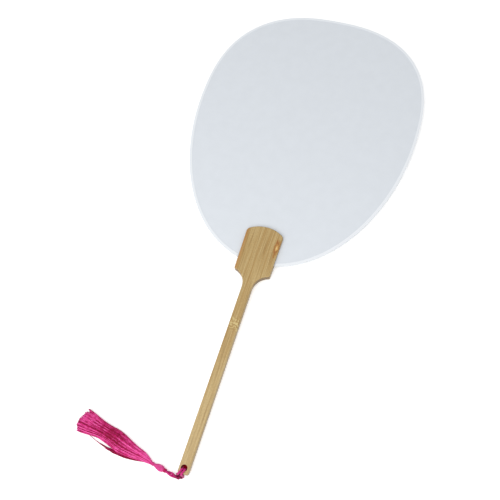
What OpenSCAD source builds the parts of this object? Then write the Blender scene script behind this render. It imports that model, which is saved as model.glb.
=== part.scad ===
// Hand fan with a rigid egg-shaped leaf, a slotted bamboo handle and a tassel.
// It lies on its back. X runs across the fan, Y runs up the handle to the leaf, Z is the front.
// The origin is the middle of the box round the handle and the leaf. Millimetres.

/* [Leaf] */
// Width of the leaf at its widest, without the binding
leaf_w = 195; // [160:1:235]
// Length of the leaf, from its heel in the handle to its crown
leaf_len = 251.5; // [210:0.5:300]
// Height of the crown above the widest line
crown_h = 101; // [80:1:125]
// Fullness of the crown, where 2 is an ellipse
crown_power = 2.45; // [2:0.05:3]
// Fullness of the heel, where 2 is an ellipse
heel_power = 2; // [1.8:0.05:2.4]
// Thickness of the board inside the leaf
core_t = 1; // [0.8:0.1:2]
// Thickness of each facing
sheet_t = 0.2; // [0.15:0.05:0.4]

/* [Edge binding] */
// Thickness of the tape
tape_t = 0.2; // [0.15:0.05:0.4]
// How far the tape turns in over each face
tape_turn = 2; // [1:0.1:4]

/* [Handle] */
// Length of the handle, from its free end to the top of its head
handle_len = 201.5; // [165:1:245]
// How deep the leaf sits in the head
grip_depth = 32; // [24:0.1:36]
// Width of the rod
rod_w = 8.2; // [7.5:0.1:11.5]
// Thickness of the rod
rod_t = 6.1; // [5.8:0.1:7.4]
// Thickness of the head
head_t = 6.5; // [5.4:0.1:8]
// Width of the head at its shoulders
head_w = 29.6; // [24:0.1:36]
// How much wider the head is at its top corners
head_flare = 1.6; // [0:0.1:3]
// Height of the head, from its shoulders to its top
head_len = 41.1; // [38:0.1:48]
// Radius of the hollow shoulders
shoulder_r = 13.5; // [10.8:0.1:18]
// Radius of the arch across the head's top
arch_r = 26; // [21:0.5:40]
// Radius of the head's top corners
corner_r = 4; // [2:0.1:6]
// Radius of the shoulder corners
shoulder_ease = 1.2; // [1.1:0.1:2]
// Radius of the rod's corners at its free end
end_ease = 1.5; // [1.2:0.1:3]
// Radius of the eased edge all round both faces
edge_r = 1; // [0.4:0.1:1.1]
// Glue line between the leaf and each cheek of the slot
glue_gap = 0.05; // [0.03:0.01:0.15]
// Free space under the heel of the leaf in the slot
slot_floor_gap = 0.3; // [0.1:0.1:1]

/* [Hang hole] */
// Diameter of the hang hole
hole_d = 4.8; // [4.6:0.1:5.6]
// Distance from the free end to the middle of the hole
hole_from_end = 4.2; // [4:0.1:5.5]

/* [Hang cord] */
// Diameter of the cord
cord_d = 1.6; // [1.3:0.1:1.6]
// Turn that the two legs make round each other, in degrees
leg_twist = 180; // [0:180:540]
// Running gap where the cord bends at the hitch and at the tassel
cord_gap = 0.3; // [0.2:0.05:0.5]

/* [Tassel] */
// Diameter of the tassel's head
bulb_d = 4.6; // [4:0.1:6]
// Radius of the round wrap that the cord enters
collar_r = 1.9; // [1.8:0.05:2.2]
// Diameter of the neck
neck_d = 2.1; // [2.1:0.1:2.8]
// Length from the cord to the neck's tie
head_to_tie = 11.4; // [10:0.1:15]
// Thickness of the tying thread
thread_d = 0.6; // [0.4:0.1:0.8]
// Length of the skirt
skirt_len = 63; // [45:1:80]
// Width of the spread skirt at its cut end
skirt_w = 17; // [12:0.5:19]
// Thickness of the skirt where it lies
skirt_t = 4.2; // [3:0.1:4.4]
// Strands round the outside of the skirt
strands = 40; // [24:2:48]
// Depth of the groove between two strands at the cut end
groove = 0.4; // [0.2:0.05:0.5]

/* [Hidden] */

// Places along the fan, from the free end of the rod.
leaf_heel = handle_len - grip_depth;
widest_line = leaf_heel + leaf_len - crown_h;
fan_len = leaf_heel + leaf_len + tape_t;
leaf_t = core_t + 2 * sheet_t;
slot_w = leaf_t + 2 * glue_gap;
slot_floor = leaf_heel - slot_floor_gap;

// Corners of the egg-shaped outline, evenly spread in angle.
egg_steps = 112;

// The handle's outline, from the shoulders up.
head_top = handle_len;
shoulder_y = head_top - head_len;
flare_slope = head_flare / 2 / (head_len - corner_r);
flare_angle = atan(flare_slope);
hollow_x = rod_w / 2 + shoulder_r;
hollow_y = shoulder_y - sqrt(pow(shoulder_r, 2) - pow(hollow_x - head_w / 2, 2));
arch_y = head_top - arch_r;
// The rod swells to the head's thickness between these two heights.
swell_start = hollow_y - 6;
swell_end = shoulder_y - 2;

// The hitch's route is for a rod of 6.1 and a cord of 1.6. This stretches it to the others.
rise = (rod_t / 2 + cord_d / 2 + 0.15) / 4;
// How far the floor lies under the middle of the fan at the tassel's end.
floor_z = -4.4 * rise - cord_d / 2;
// Pivot of the cord's legs under the hitch, from the free end of the rod.
hitch_pivot = [-2.5, -3.7, -1.55 * rise];
// The strand's two ends stand one above the other at the pivot.
stack_half = 0.85;
// Rounded end of each strand at the pivot.
knuckle_r = 0.95;
// Distance from the pivot's axis at which the legs begin.
leg_start = knuckle_r + cord_gap + 0.05;
// Pivot of the tassel at the cord's end, from the free end of the rod.
tassel_pivot = [-14, -1.6, floor_z + bulb_d / 2];
// Direction of the tassel from that pivot, anticlockwise from +X.
tassel_turn = 171;

// Route of the cord through the hitch, from the rod's free end: from the pivot back over the bar,
// under the rod, up the hole, over its front, down the end, along the bar below and back again.
hitch_route = [
  [-2.5, -3.7, -2.4], [-2.6, -2.7, -2.6], [-2.9, -1.8, -3], [-3.1, -0.9, -3.8], [-2.9, 0.1, -4.1],
  [-2.4, 1.2, -4], [-1.5, 2.4, -4], [-1, 3.2, -3.3], [-0.9, 3.4, -1.9], [-0.9, 3.4, 0],
  [-0.9, 3.4, 1.9], [-1, 3.2, 3.3], [-1.4, 2.3, 4], [-1.9, 1, 4], [-2.4, -0.1, 3.9],
  [-2.8, -0.8, 3.1], [-3.1, -1, 2], [-3.6, -1, 0.7], [-4.2, -1, -0.7], [-4.6, -1.1, -2],
  [-4.7, -1.4, -3.3], [-4.3, -2.1, -4.2], [-3.4, -2.7, -4.4], [-2.4, -2.8, -4.4],
  [-1.3, -2.7, -4.4], [-0.4, -2.2, -4.1], [0.2, -1.7, -3.2], [0.3, -1.3, -2], [0.1, -1, -0.6],
  [-0.2, -1, 0.8], [-0.4, -1, 2], [-0.4, -0.7, 3.2], [-0.2, 0.1, 3.9], [0.2, 1.1, 4],
  [0.7, 2.3, 4], [0.9, 3.2, 3.3], [0.9, 3.4, 1.9], [0.9, 3.4, 0], [0.9, 3.4, -1.9],
  [0.8, 3.2, -3.3], [0.5, 2.4, -4], [-0.1, 1.2, -4], [-0.8, 0.1, -3.9], [-1.2, -0.7, -3.2],
  [-1.6, -1.3, -2], [-2.1, -2.3, -0.9], [-2.5, -3.7, -0.7]
];
// The same route, moved up with the hole and stretched with the rod's thickness.
fitted_route = [for (p = hitch_route)
  [p[0], p[1] + max(0, p[1]) / 3.4 * (hole_from_end - 4.2), p[2] * rise]];
// Steps between one chosen point of the hitch and the next.
hitch_steps = 2;
// Rings along each leg.
leg_steps = 9;
cord_sides = 8;

// Outline of the tassel's head: distance from the pivot, and radius as a share of the bulb's.
head_profile = [[0.95, 0.62], [1.4, 0.75], [2.1, 0.89], [3, 0.98], [4, 1], [5.2, 0.96],
  [6.3, 0.86], [7.3, 0.71], [8.2, 0.56], [9, 0.48]];
tip_bore_r = 0.95;
tip_r = 1.4;
knot_r = 1.2;
knot_cell_r = 1.35;
knot_at = 4.2;

// Spread of the skirt: share of its length, share of its full width, share of its full thickness
// and drift of its middle line to the side, in millimetres.
skirt_shape = [[0, 0.14, 0.5, 0], [0.05, 0.26, 0.66, -0.3], [0.13, 0.46, 0.84, -0.8],
  [0.25, 0.57, 0.97, -0.6], [0.39, 0.78, 1, -1.4], [0.5, 0.85, 1, -2.4], [0.62, 0.8, 0.96, -3.3],
  [0.72, 0.76, 0.92, -3.6], [0.88, 0.9, 0.88, -4.2], [1, 1, 0.84, -4.3]];
lock_sides = 6;
// Places of the skirt's rings, as shares of its length.
ring_shares = [0, 0.03, 0.07, 0.12, 0.18, 0.25, 0.32, 0.4, 0.48, 0.56, 0.64, 0.72, 0.8, 0.88];
// Rings of the cut end, from the outside in, as shares of its width.
end_rings = [1, 0.75, 0.5, 0.25];
// The lock that bows away from the skirt: distance from the tie, drift to the side, height.
bow_route = [[2, 0, 0], [5, 1.7, 0], [8, 3.5, -0.2], [11, 4.4, -0.4], [16, 5.3, -0.6], [21, 6, -0.9],
  [28, 6.7, -1.2], [36, 6.9, -1.3], [44, 6.2, -1.3], [50, 5.3, -1.2], [54, 4.6, -1]];

end_y = -fan_len / 2;

// Puts what is drawn from the free end of the rod into the fan's own frame.
module from_end() {
  translate([0, end_y, 0]) children();
}

// Puts what is drawn along +X from the tassel's pivot into its place.
module on_tassel() {
  from_end() translate(tassel_pivot) rotate([0, 0, tassel_turn]) children();
}

// Point of the egg at angle a from the crown: two half superellipses that share the widest line.
function egg_point(a) =
  let (up = cos(a), across = sin(a),
    power = up >= 0 ? crown_power : heel_power,
    reach = up >= 0 ? crown_h : leaf_len - crown_h)
  [sign(across) * leaf_w / 2 * pow(abs(across), 2 / power),
    widest_line + sign(up) * reach * pow(abs(up), 2 / power)];

module leaf_outline() {
  polygon([for (i = [0:egg_steps - 1]) egg_point(-360 * i / egg_steps)]);
}

module leaf_layer(low, high) {
  from_end() translate([0, 0, low]) linear_extrude(high - low) leaf_outline();
}

// Board of the leaf.
module leaf_core() {
  color("whitesmoke") leaf_layer(-core_t / 2, core_t / 2);
}

// Facing on the front.
module front_sheet() {
  color([0.88, 0.9, 0.93]) leaf_layer(core_t / 2, leaf_t / 2);
}

// Facing on the back.
module back_sheet() {
  color([0.88, 0.9, 0.93]) leaf_layer(-leaf_t / 2, -core_t / 2);
}

// Tape folded over the rim, which stops against the two sides of the head.
module edge_binding() {
  binding_t = leaf_t + 2 * tape_t;
  mouth_w = head_w + head_flare + 2 * cord_gap;
  color("white") from_end() difference() {
    translate([0, 0, -binding_t / 2]) linear_extrude(binding_t) difference() {
      offset(delta = tape_t) leaf_outline();
      offset(delta = -tape_turn) leaf_outline();
      translate([-mouth_w / 2, leaf_heel - tape_t - 1]) square([mouth_w, grip_depth]);
    }
    translate([0, 0, -leaf_t / 2]) linear_extrude(leaf_t) leaf_outline();
  }
}

// Points of an arc with the way that the surface faces at each: side is 1 on a bulge, -1 in a hollow.
function arc(middle, r, from, to, steps, side = 1) =
  [for (i = [0:steps]) let (a = from + (to - from) * i / steps)
    [middle[0] + r * cos(a), middle[1] + r * sin(a), side * cos(a), side * sin(a)]];

// Middle of a circle of radius r inside the head's slanting side, as high up as it can be
// at the given distance from a point.
function beside_flare(r, point, distance) =
  let (a = head_w / 2 - shoulder_y * flare_slope - r / cos(flare_angle) - point[0],
    b = a * flare_slope - point[1],
    k = 1 + pow(flare_slope, 2),
    y = (-b + sqrt(b * b - k * (a * a + pow(point[1], 2) - pow(distance, 2)))) / k)
  [a + point[0] + flare_slope * y, y];

ease_middle = beside_flare(shoulder_ease, [hollow_x, hollow_y], shoulder_r + shoulder_ease);
corner_middle = beside_flare(corner_r, [0, arch_y], arch_r - corner_r);
ease_angle = atan2(hollow_y - ease_middle[1], hollow_x - ease_middle[0]);
corner_angle = atan2(corner_middle[1] - arch_y, corner_middle[0]);

// Right half of the handle's outline, from the free end to the top, with outward directions.
half_outline = concat(
  arc([rod_w / 2 - end_ease, end_ease], end_ease, -90, 0, 5),
  [[rod_w / 2, swell_start, 1, 0]],
  arc([hollow_x, hollow_y], shoulder_r, 180, 180 + ease_angle, 12, -1),
  arc(ease_middle, shoulder_ease, ease_angle + 12, -flare_angle, 3),
  arc(corner_middle, corner_r, -flare_angle, corner_angle, 6),
  arc([0, arch_y], arch_r, corner_angle + 4, 88, 8)
);
half_count = len(half_outline);

// Half the handle's thickness at height y.
function half_thick(y) =
  let (t = max(0, min(1, (y - swell_start) / (swell_end - swell_start))))
  (rod_t + (head_t - rod_t) * t) / 2;

// Layers from the back to the front: how far each is drawn in, and its share of the thickness.
round_steps = 4;
layers = concat(
  [for (i = [0:round_steps]) let (a = 90 * i / round_steps)
    [edge_r * (1 - sin(a)), -1, edge_r * (1 - cos(a))]],
  [for (i = [0:round_steps]) let (a = 90 * (round_steps - i) / round_steps)
    [edge_r * (1 - sin(a)), 1, edge_r * (1 - cos(a))]]
);

function layer_point(p, layer, side) =
  [side * (p[0] - layer[0] * p[2]), p[1] - layer[0] * p[3],
    layer[1] * (half_thick(p[1]) - layer[2])];

// Solid of the slat: the outline drawn in layer by layer, so both faces have a rounded edge.
module slat() {
  loop = 2 * half_count;
  last = len(layers) - 1;
  points = [for (layer = layers) each concat(
    [for (i = [0:half_count - 1]) layer_point(half_outline[i], layer, 1)],
    [for (i = [half_count - 1:-1:0]) layer_point(half_outline[i], layer, -1)])];
  walls = [for (j = [0:last - 1], i = [0:loop - 1]) let (n = (i + 1) % loop)
    each [[j * loop + i, (j + 1) * loop + i, (j + 1) * loop + n],
      [j * loop + i, (j + 1) * loop + n, j * loop + n]]];
  back = [for (i = [0:half_count - 2]) let (m = loop - 1 - i)
    each [[i, i + 1, m - 1], [i, m - 1, m]]];
  front = [for (i = [0:half_count - 2]) let (a = last * loop, m = loop - 1 - i)
    each [[a + i, a + m - 1, a + i + 1], [a + i, a + m, a + m - 1]]];
  polyhedron(points, concat(walls, back, front));
}

// Bamboo slat, with the saw cut for the leaf and the hang hole.
module handle() {
  color("burlywood") from_end() difference() {
    slat();
    translate([-head_w, slot_floor, -slot_w / 2]) cube([2 * head_w, head_len, slot_w]);
    translate([0, hole_from_end, -head_t]) cylinder(d = hole_d, h = 2 * head_t, $fn = 48);
  }
}

function unit(v) = v / norm(v);

// Direction of a path at its point i.
function heading(path, i) = unit(path[min(i + 1, len(path) - 1)] - path[max(i - 1, 0)]);

// Side directions carried along a path, so that its rings don't twist.
function carried(path, i, side) =
  let (h = heading(path, i), s = unit(side - (side * h) * h))
  i == len(path) - 1 ? [s] : concat([s], carried(path, i + 1, s));

// A direction that isn't along v.
function across(v) = abs(v[2]) < 0.8 ? cross(v, [0, 0, 1]) : cross(v, [1, 0, 0]);

// Closed tube along a path, with its own radius at each point and flat ends.
module tube(path, radii, sides) {
  count = len(path);
  sideways = carried(path, 0, across(heading(path, 0)));
  points = [for (i = [0:count - 1]) let (s = sideways[i], u = cross(heading(path, i), s))
    for (k = [0:sides - 1]) let (a = 360 * (k + 0.5) / sides)
      path[i] + radii[i] * (cos(a) * s + sin(a) * u)];
  walls = [for (i = [0:count - 2], k = [0:sides - 1]) let (n = (k + 1) % sides, b = i * sides)
    each [[b + k, b + sides + n, b + n], [b + k, b + sides + k, b + sides + n]]];
  ends = [for (k = [1:sides - 2]) let (b = (count - 1) * sides)
    each [[0, k, k + 1], [b, b + k + 1, b + k]]];
  polyhedron(points, concat(walls, ends));
}

function repeated(value, count) = [for (i = [1:count]) value];

// Smooth curve through the points of a route, with the given steps between one and the next.
function smooth(route, steps) =
  let (last = len(route) - 1)
  concat([for (i = [0:last - 1], k = [0:steps - 1])
    let (p = route[i], q = route[i + 1], t = k / steps,
      before = i == 0 ? 2 * p - q : route[i - 1],
      after = i == last - 1 ? 2 * q - p : route[i + 2])
    p + t / 2 * (q - before + t * (2 * before - 5 * p + 4 * q - after
      + t * (3 * p - before - 3 * q + after)))], [route[last]]);

// Cord through the hole and round the rod's end, with a rounded knuckle where each leg turns.
module cord_hitch() {
  path = smooth(fitted_route, hitch_steps);
  color("deeppink") from_end() {
    tube(path, repeated(cord_d / 2, len(path)), cord_sides);
    for (end = [0, len(fitted_route) - 1]) translate(fitted_route[end]) sphere(r = knuckle_r, $fn = 24);
  }
}

leg_way = tassel_pivot - hitch_pivot;
leg_side = unit(cross([0, 0, 1], leg_way));
leg_up = cross(unit(leg_way), leg_side);

// Point of a leg at a share of the way, on the side that turn gives.
function leg_point(share, turn) =
  let (a = turn + leg_twist * share * share * (3 - 2 * share))
  hitch_pivot + share * leg_way + stack_half * (cos(a) * leg_side + sin(a) * leg_up);

// The two legs of the cord, turned round each other between the hitch and the tassel.
module cord_legs() {
  first = leg_start / norm(leg_way);
  last = 1 - (collar_r + cord_gap) / norm(leg_way);
  color("deeppink") from_end() for (turn = [-90, 90]) {
    path = [for (i = [0:leg_steps]) leg_point(first + (last - first) * i / leg_steps, turn)];
    tube(path, repeated(cord_d / 2, leg_steps + 1), cord_sides);
  }
}

// Knot of the cord's ends, with the drawn-in cord that comes to it.
module cord_knot() {
  color("mediumvioletred") on_tassel() union() {
    translate([knot_at, 0, 0]) sphere(r = knot_r, $fn = 32);
    translate([-0.86 * collar_r, 0, 0]) rotate([0, 90, 0])
      cylinder(r = tip_bore_r - 0.1, h = knot_at + 0.86 * collar_r, $fn = 32);
  }
}

// Rounded collar of thread round the tip of the tassel's head.
module top_tie() {
  half = collar_r / 2;
  color("crimson") on_tassel() rotate([0, 90, 0]) rotate_extrude($fn = 40)
    polygon(concat([[tip_r + 0.05, -half], [tip_r + 0.05, half]],
      [for (i = [0:8]) let (s = half - 2 * half * i / 8) [sqrt(collar_r * collar_r - s * s), s]]));
}

// Head of the tassel: a bulb of drawn-in threads with a hollow for the knot.
module tassel_head() {
  outside = [for (p = head_profile) [bulb_d / 2 * p[1], p[0]]];
  color("deeppink") on_tassel() rotate([0, 90, 0]) rotate_extrude($fn = 48)
    difference() {
      polygon(concat([[0, -collar_r / 2], [tip_r, -collar_r / 2], [tip_r, head_profile[0][0]]],
        outside, [[neck_d / 2, head_to_tie - 1.6], [neck_d / 2, head_to_tie], [0, head_to_tie]]));
      translate([0, -collar_r]) square([tip_bore_r, knot_at + collar_r]);
      translate([0, knot_at]) intersection() {
        circle(r = knot_cell_r, $fn = 32);
        translate([0, -knot_cell_r]) square(2 * knot_cell_r);
      }
    }
}

// Three turns of thread round the neck.
module neck_tie() {
  ring_r = (neck_d + thread_d) / 2 + 0.05;
  color("crimson") on_tassel() rotate([0, 90, 0]) rotate_extrude($fn = 40)
    for (turn = [0:2]) translate([ring_r, head_to_tie - thread_d * (0.7 + 0.8 * turn)])
      circle(d = thread_d, $fn = 24);
}

// Shape of the skirt at a share of its length, between the rows of its table.
function skirt_at(share, i = 0) =
  i >= len(skirt_shape) - 2 || share <= skirt_shape[i + 1][0]
    ? let (a = skirt_shape[i], b = skirt_shape[i + 1])
      a + (b - a) * (share - a[0]) / (b[0] - a[0])
    : skirt_at(share, i + 1);

// Point inside the skirt: a and b are its places across and up, from -1 to 1.
function skirt_point(share, a, b) =
  let (f = skirt_at(share))
  [head_to_tie + 0.05 + share * skirt_len, a * f[1] * skirt_w / 2 + f[3],
    b * f[2] * skirt_t / 2 + (floor_z - tassel_pivot[2] + skirt_t / 2) * min(1, 4 * share)];

// Angle of ridge or groove k, so that they stand about evenly along the flat oval.
function ridge_angle(k) = let (u = 180 * k / strands) u + 11.5 * sin(2 * u);

// Point k of the ring at a share of the length, drawn in at a groove, on a ring of the given size.
function ring_point(share, k, size = 1) =
  let (f = skirt_at(share), a = ridge_angle(k),
    depth = k % 2 == 0 ? 0 : groove * min(1, 0.1 + share))
  skirt_point(share, size * cos(a) * (1 - 2 * depth / f[1] / skirt_w),
    size * sin(a) * (1 - 2 * depth / f[2] / skirt_t));

// Where strand k is cut, as a share of the length. No two neighbours are the same.
function cut_at(k) = k % 2 == 0 ? 1 - 0.018 * (1 + sin(137 * k)) : 0.955 - 0.01 * sin(101 * k);

// Skirt of the tassel: one body with a ridge for each outer strand and a ragged cut end, and the
// lock that bows away.
module tassel_skirt() {
  loop = 2 * strands;
  points = concat(
    [for (s = ring_shares, k = [0:loop - 1]) ring_point(s, k)],
    [for (q = [0:len(end_rings) - 1], k = [0:loop - 1])
      ring_point(cut_at(k + (q % 2)), k, end_rings[q])],
    [skirt_point(0, 0, 0), skirt_point(0.98, 0, 0)]);
  last = len(points) - 3;
  walls = [for (j = [0:len(ring_shares) + len(end_rings) - 2], k = [0:loop - 1])
    let (n = (k + 1) % loop, b = j * loop)
    each [[b + k, b + loop + n, b + n], [b + k, b + loop + k, b + loop + n]]];
  ends = [for (k = [0:loop - 1]) let (n = (k + 1) % loop, b = last - loop + 1)
    each [[last + 1, k, n], [last + 2, b + n, b + k]]];
  path = smooth(bow_route, 2);
  color("deeppink") on_tassel() {
    polyhedron(points, concat(walls, ends));
    translate([head_to_tie, 0, 0]) tube(path, repeated(0.4, len(path)), lock_sides);
  }
}

handle();
leaf_core();
front_sheet();
back_sheet();
edge_binding();
cord_hitch();
cord_legs();
cord_knot();
top_tie();
tassel_head();
neck_tie();
tassel_skirt();
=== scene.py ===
# %% [markdown]
# A paddle fan lies on its back on a white table: an egg-shaped white leaf in a bamboo handle, with a
# magenta tassel hitched through the hole at the end of the rod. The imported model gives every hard
# piece its place and size. This script gives them their finishes, and makes the cord and the tassel
# again as the soft things that they are.

# %% The frame
import math

import bpy
import numpy as np
from mathutils import Matrix, Vector


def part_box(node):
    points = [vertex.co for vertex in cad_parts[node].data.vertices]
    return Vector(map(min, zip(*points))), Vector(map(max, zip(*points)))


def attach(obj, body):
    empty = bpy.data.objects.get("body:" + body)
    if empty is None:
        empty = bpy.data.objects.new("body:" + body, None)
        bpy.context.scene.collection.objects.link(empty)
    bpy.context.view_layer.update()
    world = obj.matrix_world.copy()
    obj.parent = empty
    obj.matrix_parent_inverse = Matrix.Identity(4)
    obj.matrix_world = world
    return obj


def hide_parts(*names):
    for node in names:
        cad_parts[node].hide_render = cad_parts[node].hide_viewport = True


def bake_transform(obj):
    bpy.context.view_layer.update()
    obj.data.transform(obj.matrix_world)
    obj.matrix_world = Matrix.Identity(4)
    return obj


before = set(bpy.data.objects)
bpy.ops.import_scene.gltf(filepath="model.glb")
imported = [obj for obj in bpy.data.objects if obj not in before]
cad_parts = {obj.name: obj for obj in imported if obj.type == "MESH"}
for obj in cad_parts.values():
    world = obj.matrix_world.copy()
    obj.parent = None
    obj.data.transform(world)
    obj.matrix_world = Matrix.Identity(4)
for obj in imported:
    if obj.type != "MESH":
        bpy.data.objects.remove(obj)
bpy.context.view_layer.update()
MM = 0.001
ROD_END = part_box("handle")[0][1]
FACE_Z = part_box("front_sheet")[1][2]
print("rod's end at y", round(ROD_END / MM, 2), "and leaf's face at z", round(FACE_Z / MM, 2), "mm")

# %% [markdown]
# The photograph was taken from above the right of the handle, a little over half a metre away. The
# place of that camera was worked out from the outline: seen square on, the leaf has to be the same
# left and right of the rod. Camera helpers aim with the world's up, so the small turn of the picture
# about its own middle is added after aiming.

# %% The camera
CAMERA_AT = Vector((104.7, -8.7, 501.8)) * MM
LOOK_AT = Vector((-7.2, 179.2, 0)) * MM
PICTURE_TURN = -13.74
PICTURE_SHIFT = -0.0012, 0.0004
FILM_WIDTH = 36
FOCAL = 48.6
face_origin = Vector((0, ROD_END, FACE_Z))


def aim(place, target, turn):
    """Matrix of a camera at place that looks at target, turned about its own line of sight: the
    columns are its right, its up and the way back, and turn rolls the first two, in degrees."""
    back = (place - target).normalized()
    right = Vector((0, 0, 1)).cross(back).normalized()
    up = back.cross(right)
    level = Matrix((right, up, back)).transposed().to_4x4()
    return Matrix.Translation(place) @ level @ Matrix.Rotation(math.radians(turn), 4, "Z")


camera = bpy.data.objects.new("camera", bpy.data.cameras.new("camera"))
camera.data.sensor_width = FILM_WIDTH
camera.data.lens = FOCAL
camera.data.shift_x, camera.data.shift_y = PICTURE_SHIFT
camera.data.clip_start = 0.01
camera.data.clip_end = 20
camera.matrix_world = aim(face_origin + CAMERA_AT, face_origin + LOOK_AT, PICTURE_TURN)
bpy.context.scene.collection.objects.link(camera)
bpy.context.scene.camera = camera
bpy.context.scene.view_settings.view_transform = "Standard"
print("camera", round((CAMERA_AT - LOOK_AT).length / MM), "mm from the point that it looks at")

# %% [markdown]
# Every soft piece here is a tube of some kind: the cord, the wound ties and each thread of the
# tassel. A tube is a small ring carried along a path. The ring must not spin as the path turns, so
# its side direction is carried along and only tilted where the path tilts. The rings of many threads
# are worked out at once, as one array, so hundreds of threads take no longer than one.

# %% Curves and the directions across them
def smooth(route, steps):
    """Curve through the points of a route: between two of them a cubic that passes through both and
    leaves each one along the line between its neighbours."""
    route = np.asarray(route, float)
    padded = np.vstack([2 * route[0] - route[1], route, 2 * route[-1] - route[-2]])
    before, here, there, after = (padded[k:k + len(route) - 1, None] for k in range(4))
    t = (np.arange(steps) / steps)[None, :, None]
    curve = here + t / 2 * (there - before + t * (2 * before - 5 * here + 4 * there - after
                            + t * (3 * here - before - 3 * there + after)))
    return np.vstack([curve.reshape(-1, 3), route[-1:]])


def unit(v):
    """Each vector divided by its own length."""
    return v / np.maximum(np.linalg.norm(v, axis=-1, keepdims=True), 1e-12)


def ring_axes(paths):
    """Two directions across each path at each of its points. The first starts level and is carried
    on: at each point the part of it that lies along the path is taken off."""
    along = unit(np.gradient(paths, axis=1))
    side = np.empty_like(paths)
    level = np.stack([-along[:, 0, 1], along[:, 0, 0], 0 * along[:, 0, 0]], axis=1)
    lying = np.linalg.norm(level, axis=1, keepdims=True) > 0.2
    side[:, 0] = unit(np.where(lying, level, [[1.0, 0.0, 0.0]]))
    for k in range(1, paths.shape[1]):
        last = side[:, k - 1]
        side[:, k] = unit(last - (last * along[:, k]).sum(1, keepdims=True) * along[:, k])
    return side, np.cross(along, side)


def rounded(path, radius):
    """Path and radii of a tube with round ends: four more rings beyond each end, whose radii follow
    a quarter circle."""
    share = np.sin(np.linspace(0, np.pi / 2, 5))[1:]
    size = np.maximum(np.cos(np.linspace(0, np.pi / 2, 5))[1:], 0.05)
    start = path[0] + unit(path[0] - path[1]) * radius * share[::-1, None]
    end = path[-1] + unit(path[-1] - path[-2]) * radius * share[:, None]
    radii = np.concatenate([size[::-1], np.ones(len(path)), size]) * radius
    return np.vstack([start, path, end]), radii


print("a curve through 3 points, 4 steps each, has", len(smooth(np.eye(3), 4)), "points")

# %% [markdown]
# A mesh needs its points and the corners of each face. Points come out ring by ring, so the four
# corners of a wall are found by counting: this point, its neighbour in the ring, and the same two in
# the next ring. The UV map notes how far round and how far along each point is, and the materials of
# the threads read it, so that their streaks follow each thread.

# %% Meshes from rings
def mesh_of_rings(name, rings, run):
    """Mesh of many closed tubes. rings holds the points by tube, by ring and by place in the ring,
    and run the metres along each tube. Walls join each ring with the next one, and one face closes
    each end. UV is the share of the way round and the metres along."""
    count, steps, sides = rings.shape[:3]
    tube = np.arange(count)[:, None, None] * steps * sides
    ring = np.arange(steps - 1)[None, :, None] * sides
    here = np.arange(sides)
    beside = (here + 1) % sides
    corner = np.stack([here, beside, sides + beside, sides + here], axis=-1)
    walls = tube[..., None] + ring[..., None] + corner
    first = tube[:, 0] + here[::-1]
    final = tube[:, 0] + (steps - 1) * sides + here
    faces = walls.reshape(-1, 4).tolist() + first.tolist() + final.tolist()
    mesh = bpy.data.meshes.new(name)
    mesh.from_pydata(rings.reshape(-1, 3).tolist(), [], faces)
    mesh.polygons.foreach_set("use_smooth", np.ones(len(faces), bool))
    uv = np.stack(np.broadcast_arrays(here / sides, run[..., None]), axis=-1).reshape(-1, 2)
    corners = np.empty(len(mesh.loops), int)
    mesh.loops.foreach_get("vertex_index", corners)
    mesh.uv_layers.new(name="along").data.foreach_set("uv", uv[corners].ravel())
    mesh.update()
    return mesh


# %% [markdown]
# The rings of a tube are circles, and the plies of a cord are low ridges that wind about it, so they
# only raise and lower the radius. A mesh becomes a piece of the fan when an object holds it. That
# object rides on the body that it moves with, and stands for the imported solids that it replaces.

# %% Tubes and objects
def tube_mesh(name, paths, radii, sides, lobes=0, lay=0.0, relief=0.0, shade=None):
    """Mesh of many closed tubes. A ring's point is path + r (side cos a + up sin a). The radius r
    is the given one, raised and lowered by relief times cos(lobes times a minus the angle that the
    plies have turned by), where they make a whole turn every lay metres. shade is a value for each
    tube or each ring, kept as an attribute."""
    paths = np.asarray(paths, float)
    count, steps = paths.shape[:2]
    radii = np.broadcast_to(radii, (count, steps))
    side, up = ring_axes(paths)
    angle = np.linspace(0, 2 * np.pi, sides, endpoint=False)
    run = np.cumsum(np.linalg.norm(np.diff(paths, axis=1, prepend=paths[:, :1]), axis=2), axis=1)
    turned = run * (2 * np.pi / lay) if lay else 0 * run
    swell = 1 + relief * np.cos(lobes * (angle - turned[..., None]))
    reach = (radii[..., None] * swell)[..., None]
    rings = paths[:, :, None] + reach * (np.cos(angle)[:, None] * side[:, :, None]
                                        + np.sin(angle)[:, None] * up[:, :, None])
    mesh = mesh_of_rings(name, rings, run)
    if shade is not None:
        shade = np.broadcast_to(np.asarray(shade, float).reshape(count, -1), (count, steps))
        values = np.repeat(shade.ravel(), sides)
        mesh.attributes.new("shade", "FLOAT", "POINT").data.foreach_set("value", values)
    return mesh


def place(name, mesh, body, *nodes):
    """Object for a mesh that is already where it belongs. It rides on a body if one is named, and
    stands for the CAD nodes given."""
    obj = bpy.data.objects.new(name, mesh)
    bpy.context.scene.collection.objects.link(obj)
    if body:
        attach(obj, body)
    if nodes:
        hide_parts(*nodes)
    return obj


# %% [markdown]
# The hang cord is a limp three-ply rayon cord. Its bight is pushed up through the hole, folded down
# over the end of the rod, and the tassel is passed through it, which makes a hitch that tightens
# under load. The route below is the one that the solids follow, point for point, measured from the
# middle of the rod's end. The hitch stays on the handle, so it is one piece, and the two legs that
# swing are another.

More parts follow.
